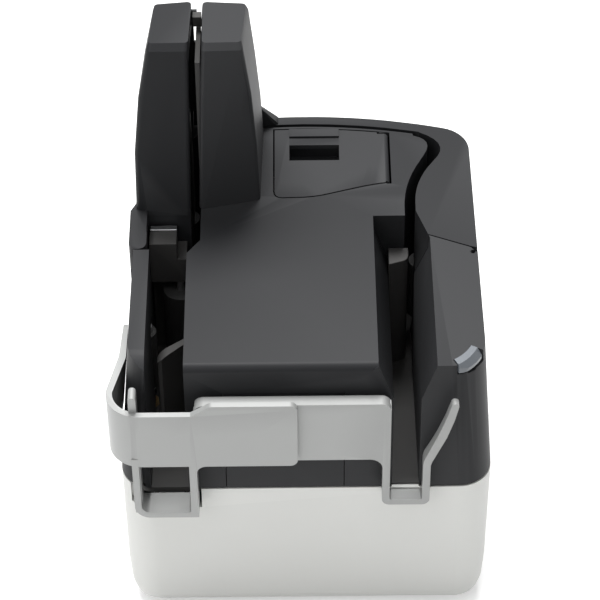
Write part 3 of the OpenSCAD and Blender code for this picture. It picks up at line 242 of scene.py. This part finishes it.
def moulded(name, color, gloss=0.45, grain=None, mottle=0.05, bump=0.03, rub=0.35, metallic=0.0, specular=0.5,
            coat=0.0):
    """A moulded plastic: fine grain in the bump, mottled colour, uneven gloss and rubbed edges."""
    if name in bpy.data.materials:
        return bpy.data.materials[name]
    finish = bpy.context.scene.scanner_finish
    material = bpy.data.materials.new(name)
    material.use_nodes = True
    nodes, links = material.node_tree.nodes, material.node_tree.links
    shader = nodes["Principled BSDF"]
    grain_node = nodes.new("ShaderNodeGroup")
    grain_node.node_tree = moulded_grain()
    grain_node.inputs["Color"].default_value = (*color, 1)
    grain_node.inputs["Grain"].default_value = grain or 1 / finish.grain_size
    grain_node.inputs["Mottle"].default_value = mottle
    grain_node.inputs["Gloss"].default_value = gloss
    rub_node = nodes.new("ShaderNodeGroup")
    rub_node.node_tree = edge_rub()
    rub_node.inputs["Rubbed"].default_value = (*[min(1, 0.02 + 1.3 * c) for c in color], 1)
    rub_node.inputs["Amount"].default_value = rub
    links.new(grain_node.outputs["Color"], rub_node.inputs["Color"])
    links.new(rub_node.outputs["Color"], shader.inputs["Base Color"])
    links.new(grain_node.outputs["Roughness"], shader.inputs["Roughness"])
    relief = nodes.new("ShaderNodeBump")
    relief.inputs["Strength"].default_value = bump
    relief.inputs["Distance"].default_value = 0.0002
    links.new(grain_node.outputs["Height"], relief.inputs["Height"])
    links.new(relief.outputs["Normal"], shader.inputs["Normal"])
    shader.inputs["Metallic"].default_value = metallic
    shader.inputs["Specular IOR Level"].default_value = specular
    shader.inputs["Coat Weight"].default_value = coat
    return material


def brushed(name, color, along=(1, 1, 30), gloss=0.32):
    """A bare metal with fine lines drawn along one direction."""
    if name in bpy.data.materials:
        return bpy.data.materials[name]
    material = bpy.data.materials.new(name)
    material.use_nodes = True
    nodes, links = material.node_tree.nodes, material.node_tree.links
    shader = nodes["Principled BSDF"]
    place = nodes.new("ShaderNodeTexCoord")
    stretch = nodes.new("ShaderNodeMapping")
    stretch.inputs["Scale"].default_value = along
    links.new(place.outputs["Object"], stretch.inputs["Vector"])
    lines = nodes.new("ShaderNodeTexNoise")
    lines.inputs["Scale"].default_value = 180
    lines.inputs["Detail"].default_value = 5
    links.new(stretch.outputs["Vector"], lines.inputs["Vector"])
    tint = nodes.new("ShaderNodeValToRGB")
    tint.color_ramp.elements[0].color = (*[c * 0.82 for c in color], 1)
    tint.color_ramp.elements[1].color = (*color, 1)
    links.new(lines.outputs["Fac"], tint.inputs["Fac"])
    links.new(tint.outputs["Color"], shader.inputs["Base Color"])
    rough = nodes.new("ShaderNodeMapRange")
    rough.inputs["To Min"].default_value = gloss - 0.08
    rough.inputs["To Max"].default_value = gloss + 0.1
    links.new(lines.outputs["Fac"], rough.inputs["Value"])
    links.new(rough.outputs["Result"], shader.inputs["Roughness"])
    shader.inputs["Metallic"].default_value = 1
    return material


def glass(name, color):
    """Clear cover glass with a faint smear in its gloss."""
    if name in bpy.data.materials:
        return bpy.data.materials[name]
    material = bpy.data.materials.new(name)
    material.use_nodes = True
    nodes, links = material.node_tree.nodes, material.node_tree.links
    shader = nodes["Principled BSDF"]
    place = nodes.new("ShaderNodeTexCoord")
    smear = nodes.new("ShaderNodeTexNoise")
    smear.inputs["Scale"].default_value = 60
    links.new(place.outputs["Object"], smear.inputs["Vector"])
    rough = nodes.new("ShaderNodeMapRange")
    rough.inputs["To Min"].default_value = 0.03
    rough.inputs["To Max"].default_value = 0.12
    links.new(smear.outputs["Fac"], rough.inputs["Value"])
    links.new(rough.outputs["Result"], shader.inputs["Roughness"])
    shader.inputs["Base Color"].default_value = (*color, 1)
    shader.inputs["Transmission Weight"].default_value = 0.9
    shader.inputs["IOR"].default_value = 1.5
    return material


def circuit_green():
    """Solder-masked board with the faint pattern of its tracks."""
    name = "circuit_green"
    if name in bpy.data.materials:
        return bpy.data.materials[name]
    material = bpy.data.materials.new(name)
    material.use_nodes = True
    nodes, links = material.node_tree.nodes, material.node_tree.links
    shader = nodes["Principled BSDF"]
    place = nodes.new("ShaderNodeTexCoord")
    tracks = nodes.new("ShaderNodeTexBrick")
    tracks.inputs["Scale"].default_value = 110
    tracks.inputs["Color1"].default_value = (0.01, 0.09, 0.035, 1)
    tracks.inputs["Color2"].default_value = (0.015, 0.12, 0.05, 1)
    tracks.inputs["Mortar"].default_value = (0.04, 0.22, 0.1, 1)
    links.new(place.outputs["Object"], tracks.inputs["Vector"])
    links.new(tracks.outputs["Color"], shader.inputs["Base Color"])
    links.new(tracks.outputs["Fac"], shader.inputs["Coat Weight"])
    shader.inputs["Roughness"].default_value = 0.35
    return material


def finish_named(slot_name):
    """The material of a record slot."""
    look = bpy.context.scene.scanner_finish
    makers = {
        "white_plastic": lambda: moulded(
            "base_plastic", look.base_white, gloss=0.5, mottle=0.03, bump=0.02, rub=0.2),
        "black_plastic": lambda: moulded(
            "cover_plastic", look.cover_black, gloss=0.5, mottle=0.1, bump=0.05, specular=0.15, rub=0.5),
        # Inner plastic: its colour is lifted well above the covers' black as painted fill light, standing in
        # for the light that barely reaches the shaded pockets and pusher.
        "dark_plastic": lambda: moulded(
            "inner_plastic", (0.045, 0.044, 0.043), gloss=0.55, bump=0.02, specular=0.2),
        "silver_plastic": lambda: moulded(
            "tray_plastic", look.tray_silver, gloss=0.36, grain=3200, mottle=0.09, bump=0.02, rub=0.3,
            metallic=0.25),
        "button_lens": lambda: moulded(
            "button_plastic", look.lens_blue, gloss=0.22, mottle=0.02, bump=0.005, rub=0.1, coat=0.15),
        "rubber": lambda: moulded(
            "rubber_black", (0.022, 0.022, 0.022), gloss=0.75, mottle=0.12, bump=0.12, rub=0.1),
        "steel": lambda: brushed("bare_steel", (0.62, 0.63, 0.64)),
        "bronze": lambda: brushed("bush_bronze", (0.52, 0.37, 0.18)),
        "sensor_glass": lambda: glass("sensor_glass", (0.55, 0.62, 0.66)),
        "board": circuit_green,
    }
    return makers[slot_name]()


# Modelling helpers


def only(obj):
    """Selects this object alone and makes it active."""
    bpy.ops.object.select_all(action="DESELECT")
    obj.select_set(True)
    bpy.context.view_layer.objects.active = obj


def node_slot(node):
    """The record slot of a CAD node."""
    return next(s["material_slot"] for s in frame["record"]["subparts"] if s["node"] == node)


def dress(obj, slot_name):
    """Gives a mesh the material of a record slot."""
    obj.data.materials.clear()
    obj.data.materials.append(finish_named(slot_name))


def keep(*nodes):
    """CAD nodes whose shape stays: each gets its procedural material."""
    for name in nodes:
        dress(frame["nodes"][name], node_slot(name))


def smooth(obj):
    """Smooth shading that stays crisp at real corners."""
    only(obj)
    bpy.ops.object.shade_smooth_by_angle(angle=SMOOTH_ANGLE)


def pick_edges(obj, test):
    """Selects the edges whose two ends both pass the test, given in working millimetres."""
    mesh = obj.data
    bpy.ops.object.mode_set(mode="EDIT")
    bpy.ops.mesh.select_mode(type="EDGE")
    bpy.ops.mesh.select_all(action="DESELECT")
    bpy.ops.object.mode_set(mode="OBJECT")
    inside = [test(*(v.co / MM - SHIFT)) for v in mesh.vertices]
    for edge in mesh.edges:
        edge.select = all(inside[i] for i in edge.vertices)


def soften(obj, test, width):
    """Rounds the picked edges of a piece more than the rest."""
    only(obj)
    pick_edges(obj, test)
    bpy.ops.object.mode_set(mode="EDIT")
    bpy.ops.mesh.bevel(offset=width, segments=CREASE_SEGMENTS, affect="EDGES", clamp_overlap=True)
    bpy.ops.object.mode_set(mode="OBJECT")


def top_height(y):
    """Height of the covers' sloping top at a depth, in working millimetres."""
    return TOP_FRONT + math.tan(TOP_SLOPE) * y


def front_crease(x, y, z):
    """Whether a point lies on the crease between the top and the front."""
    return y < CREASE_DEPTH and abs(z - top_height(y)) < CREASE_BAND


def rounded_copy(node, name, width, crease=None):
    """A merged copy of a CAD node with rounded edges, standing for that node on its body."""
    source = frame["nodes"][node]
    obj = bpy.data.objects.new(name, source.data.copy())
    bpy.context.scene.collection.objects.link(obj)
    only(obj)
    bpy.ops.mesh.customdata_custom_splitnormals_clear()
    bpy.ops.object.mode_set(mode="EDIT")
    bpy.ops.mesh.select_all(action="SELECT")
    bpy.ops.mesh.remove_doubles(threshold=WELD_DISTANCE)
    bpy.ops.mesh.dissolve_limited(angle_limit=FLAT_ANGLE)
    bpy.ops.object.mode_set(mode="OBJECT")
    if crease:
        soften(obj, *crease)
    edge = obj.modifiers.new("edges", "BEVEL")
    edge.width = width
    edge.segments = BEVEL_SEGMENTS
    edge.limit_method = "ANGLE"
    edge.angle_limit = BEVEL_ANGLE
    edge.miter_outer = "MITER_ARC"
    edge.use_clamp_overlap = True
    bpy.ops.object.modifier_apply(modifier=edge.name)
    smooth(obj)
    flat = obj.modifiers.new("flats", "WEIGHTED_NORMAL")
    flat.keep_sharp = True
    bpy.ops.object.modifier_apply(modifier=flat.name)
    dress(obj, node_slot(node))
    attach(obj, source["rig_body"])
    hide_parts(node)
    return obj


# Pieces


class MakeBase(bpy.types.Operator):
    """Light base with its rubber feet, screws and the chassis inside"""
    bl_idname = "scanner.make_base"
    bl_label = "Base"

    def execute(self, context):
        edges = context.scene.scanner_edges
        rounded_copy("base_shell", "base_housing", edges.base_edge)
        rounded_copy("rubber_feet", "foot_pads", FOOT_EDGE)
        keep("base_screws", "chassis_frame", "circuit_board")
        return {"FINISHED"}


class MakeCovers(bpy.types.Operator):
    """Dark covers of the middle, left and right, with their rounded edges"""
    bl_idname = "scanner.make_covers"
    bl_label = "Covers"

    def execute(self, context):
        width = context.scene.scanner_edges.cover_edge
        crease = front_crease, context.scene.scanner_edges.crease
        rounded_copy("centre_cover", "centre_housing", width, crease=crease)
        rounded_copy("front_panel", "front_fascia", PANEL_EDGE)
        rounded_copy("left_side_wall", "feeder_wall", width)
        rounded_copy("right_front_cover", "exit_side_cover", width)
        rounded_copy("right_rear_cover", "rear_track_cover", width)
        keep("exit_cover_pin", "unit_hinge_pin")
        return {"FINISHED"}


class MakeDoor(bpy.types.Operator):
    """Imprinter door with its finger window, and the ink cartridge under it"""
    bl_idname = "scanner.make_door"
    bl_label = "Imprinter door"

    def execute(self, context):
        rounded_copy("imprinter_door", "imprinter_lid", PANEL_EDGE)
        keep("door_hinge_pin", "print_cartridge", "cartridge_cradle")
        return {"FINISHED"}


class MakeFins(bpy.types.Operator):
    """The two scanning fins, their guide plates, sensors and glasses"""
    bl_idname = "scanner.make_fins"
    bl_label = "Scanning fins"

    def execute(self, context):
        width = context.scene.scanner_edges.cover_edge
        rounded_copy("left_fin_cover", "left_fin", width)
        rounded_copy("right_fin_cover", "right_fin", width)
        keep("left_guide_plate", "right_guide_plate", "slot_stop", "rear_image_sensor", "rear_sensor_glass",
             "front_image_sensor", "front_sensor_glass", "magnetic_head")
        return {"FINISHED"}


class MakeTrays(bpy.types.Operator):
    """Silver feed tray and eject tray"""
    bl_idname = "scanner.make_trays"
    bl_label = "Document trays"

    def execute(self, context):
        width = context.scene.scanner_edges.tray_edge
        rounded_copy("feed_tray", "feed_tray_band", width)
        rounded_copy("eject_tray", "eject_tray_band", width)
        return {"FINISHED"}


class MakeButton(bpy.types.Operator):
    """Crescent power button and its switch"""
    bl_idname = "scanner.make_button"
    bl_label = "Power button"

    def execute(self, context):
        rounded_copy("power_button", "crescent_button", BUTTON_EDGE)
        keep("button_switch")
        return {"FINISHED"}


class MakeFeeder(bpy.types.Operator):
    """Pusher, separator and guides of the feeder pocket, and the exit pocket's guide"""
    bl_idname = "scanner.make_feeder"
    bl_label = "Feeder and exit"

    def execute(self, context):
        rounded_copy("document_pusher", "pusher_plate", PANEL_EDGE)
        rounded_copy("separator_bracket", "separator_housing", SEPARATOR_EDGE)
        rounded_copy("guide_strip", "guide_strip_plate", STRIP_EDGE)
        rounded_copy("exit_guide", "exit_guide_wall", GUIDE_EDGE)
        keep("pusher_spring", "retard_pin")
        return {"FINISHED"}


class MakeDrive(bpy.types.Operator):
    """Rollers, shafts, pulleys, belts and motor"""
    bl_idname = "scanner.make_drive"
    bl_label = "Drive"

    def execute(self, context):
        keep("retard_roller", "pickup_roller", "pickup_shaft", "pickup_pulley", "feed_roller", "feed_shaft",
             "feed_pulley", "corner_roller", "corner_shaft", "corner_pulley", "exit_roller", "exit_shaft",
             "exit_pulley", "corner_pinch_roller", "exit_pinch_roller", "exit_pinch_pin", "shaft_bushes",
             "upper_frame", "frame_screws", "motor", "motor_bracket", "motor_pulley", "drive_belt",
             "pickup_belt")
        return {"FINISHED"}


# Stage


def area_lamp(name, place, target, size, power):
    """A soft rectangular lamp aimed at a point."""
    data = bpy.data.lights.new(name, "AREA")
    data.shape = "RECTANGLE"
    data.size, data.size_y = size
    data.energy = power
    lamp = bpy.data.objects.new(name, data)
    bpy.context.scene.collection.objects.link(lamp)
    lamp.location = place
    lamp.rotation_euler = (Vector(target) - Vector(place)).to_track_quat("-Z", "Y").to_euler()
    return lamp


class MakeStage(bpy.types.Operator):
    """Pale floor, soft studio light and the camera"""
    bl_idname = "scanner.make_stage"
    bl_label = "Stage"

    def execute(self, context):
        scene = context.scene
        bpy.ops.object.select_all(action="DESELECT")
        bpy.ops.mesh.primitive_plane_add(size=FLOOR_SIZE, location=(0, 0, 0))
        floor = context.active_object
        floor.name = "studio_floor"
        floor.data.materials.append(self.floor_finish())
        self.light_world(scene)
        for lamp in LAMPS:
            area_lamp(*lamp)
        data = bpy.data.cameras.new("camera")
        data.lens, data.sensor_width = CAMERA_LENS, CAMERA_SENSOR
        data.clip_start, data.clip_end = 0.05, 30
        camera = bpy.data.objects.new("camera", data)
        scene.collection.objects.link(camera)
        camera.location = CAMERA_PLACE
        camera.rotation_euler = (CAMERA_TILT, 0, 0)
        camera.rotation_mode = "QUATERNION"
        look = camera.rotation_euler.to_quaternion()
        camera.rotation_quaternion = look @ Quaternion((0, 0, 1), CAMERA_ROLL)
        scene.camera = camera
        scene.view_settings.view_transform = "Standard"
        return {"FINISHED"}

    def seen_rays(self, nodes, links):
        """1 for rays from the camera, a reflection or glass, which see the plain white background."""
        path = nodes.new("ShaderNodeLightPath")
        total = path.outputs["Is Camera Ray"]
        for name in ("Is Glossy Ray", "Is Transmission Ray"):
            either = nodes.new("ShaderNodeMath")
            either.operation = "MAXIMUM"
            links.new(total, either.inputs[0])
            links.new(path.outputs[name], either.inputs[1])
            total = either.outputs[0]
        return total

    def floor_finish(self):
        """White to the camera, with the object's shadow kept, and a pale grey to the light."""
        material = bpy.data.materials.new("floor_white")
        material.use_nodes = True
        nodes, links = material.node_tree.nodes, material.node_tree.links
        shader = nodes["Principled BSDF"]
        place = nodes.new("ShaderNodeTexCoord")
        cloud = nodes.new("ShaderNodeTexNoise")
        cloud.inputs["Scale"].default_value = 3
        links.new(place.outputs["Object"], cloud.inputs["Vector"])
        rough = nodes.new("ShaderNodeMapRange")
        rough.inputs["To Min"].default_value = 0.7
        rough.inputs["To Max"].default_value = 0.8
        links.new(cloud.outputs["Fac"], rough.inputs["Value"])
        links.new(rough.outputs["Result"], shader.inputs["Roughness"])
        shader.inputs["Base Color"].default_value = (FLOOR_GREY, FLOOR_GREY, FLOOR_GREY, 1)
        glow = nodes.new("ShaderNodeEmission")
        glow.inputs["Strength"].default_value = FLOOR_GLOW
        lift = nodes.new("ShaderNodeAddShader")
        mix = nodes.new("ShaderNodeMixShader")
        links.new(shader.outputs[0], lift.inputs[0])
        links.new(glow.outputs[0], lift.inputs[1])
        links.new(self.seen_rays(nodes, links), mix.inputs[0])
        links.new(shader.outputs[0], mix.inputs[1])
        links.new(lift.outputs[0], mix.inputs[2])
        links.new(mix.outputs[0], nodes["Material Output"].inputs["Surface"])
        return material

    def light_world(self, scene):
        """White behind the object to the camera, a soft even light otherwise."""
        world = bpy.data.worlds.new("studio")
        world.use_nodes = True
        nodes, links = world.node_tree.nodes, world.node_tree.links
        soft = nodes["Background"]
        soft.inputs["Color"].default_value = (1, 1, 1, 1)
        soft.inputs["Strength"].default_value = WORLD_SOFT
        white = nodes.new("ShaderNodeBackground")
        white.inputs["Strength"].default_value = WORLD_WHITE
        mix = nodes.new("ShaderNodeMixShader")
        links.new(self.seen_rays(nodes, links), mix.inputs[0])
        links.new(soft.outputs[0], mix.inputs[1])
        links.new(white.outputs[0], mix.inputs[2])
        links.new(mix.outputs[0], nodes["World Output"].inputs["Surface"])
        scene.world = world


# Panel


class ScannerPanel(bpy.types.Panel):
    bl_idname = "VIEW3D_PT_cheque_scanner"
    bl_label = "Cheque scanner"
    bl_space_type = "VIEW_3D"
    bl_region_type = "UI"
    bl_category = "Cheque scanner"

    def draw(self, context):
        layout = self.layout
        for group in (context.scene.scanner_finish, context.scene.scanner_edges):
            for name in group.__annotations__:
                layout.prop(group, name)
        for maker in MAKERS:
            layout.operator(maker.bl_idname)


MAKERS = (MakeBase, MakeCovers, MakeDoor, MakeFins, MakeTrays, MakeButton, MakeFeeder, MakeDrive, MakeStage)
CLASSES = (ScannerFinish, ScannerEdges, *MAKERS, ScannerPanel)


def register():
    for cls in CLASSES:
        bpy.utils.register_class(cls)
    bpy.types.Scene.scanner_finish = bpy.props.PointerProperty(type=ScannerFinish)
    bpy.types.Scene.scanner_edges = bpy.props.PointerProperty(type=ScannerEdges)


def unregister():
    del bpy.types.Scene.scanner_edges
    del bpy.types.Scene.scanner_finish
    for cls in reversed(CLASSES):
        bpy.utils.unregister_class(cls)


def main():
    register()
    for maker in MAKERS:
        group, _, action = maker.bl_idname.partition(".")
        getattr(getattr(bpy.ops, group), action)()


if __name__ == "__main__":
    main()
